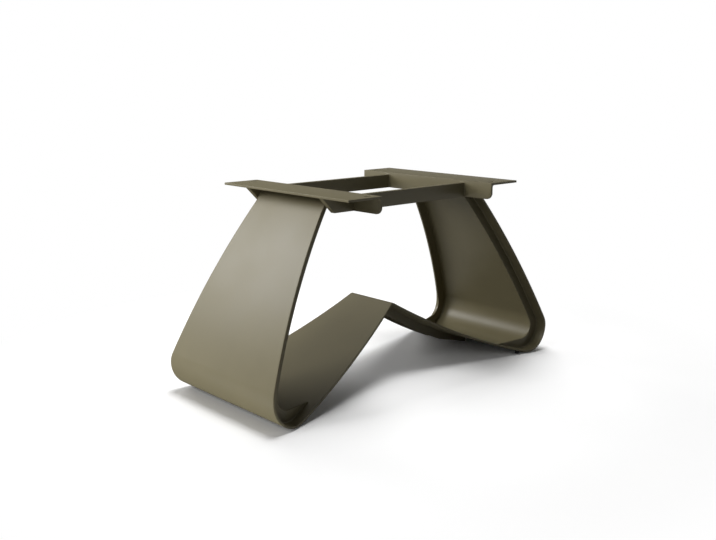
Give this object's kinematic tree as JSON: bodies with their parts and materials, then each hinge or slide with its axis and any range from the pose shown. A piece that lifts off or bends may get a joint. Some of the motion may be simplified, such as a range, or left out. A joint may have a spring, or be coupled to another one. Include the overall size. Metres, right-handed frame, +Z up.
{
  "type": "table base",
  "caption": "W-shaped steel table base: a wide bent ribbon with stiffening ribs and a welded top frame of flanged plates and rails that screws under a table top.",
  "frame": {"origin": "on the floor under the middle of the peak", "axes": "+X along the length towards one leg, +Y across the depth, +Z up"},
  "size_m": [1.4, 0.677, 0.72],
  "materials": {
    "steel": "satin powder coat, olive bronze",
    "glide": "matt black"
  },
  "bodies": {
    "root": {"w_ribbon": "steel", "leg_rib_right_front": "steel", "leg_rib_right_back": "steel", "leg_rib_left_front": "steel", "leg_rib_left_back": "steel", "wing_rib_front": "steel", "wing_rib_back": "steel", "top_angle_right": "steel", "top_angle_left": "steel", "rail_front": "steel", "rail_back": "steel", "gusset_right_front": "steel", "gusset_right_back": "steel", "gusset_left_front": "steel", "gusset_left_back": "steel", "glide_right_front": "glide", "glide_right_back": "glide", "glide_left_front": "glide", "glide_left_back": "glide"}
  },
  "joints": []
}
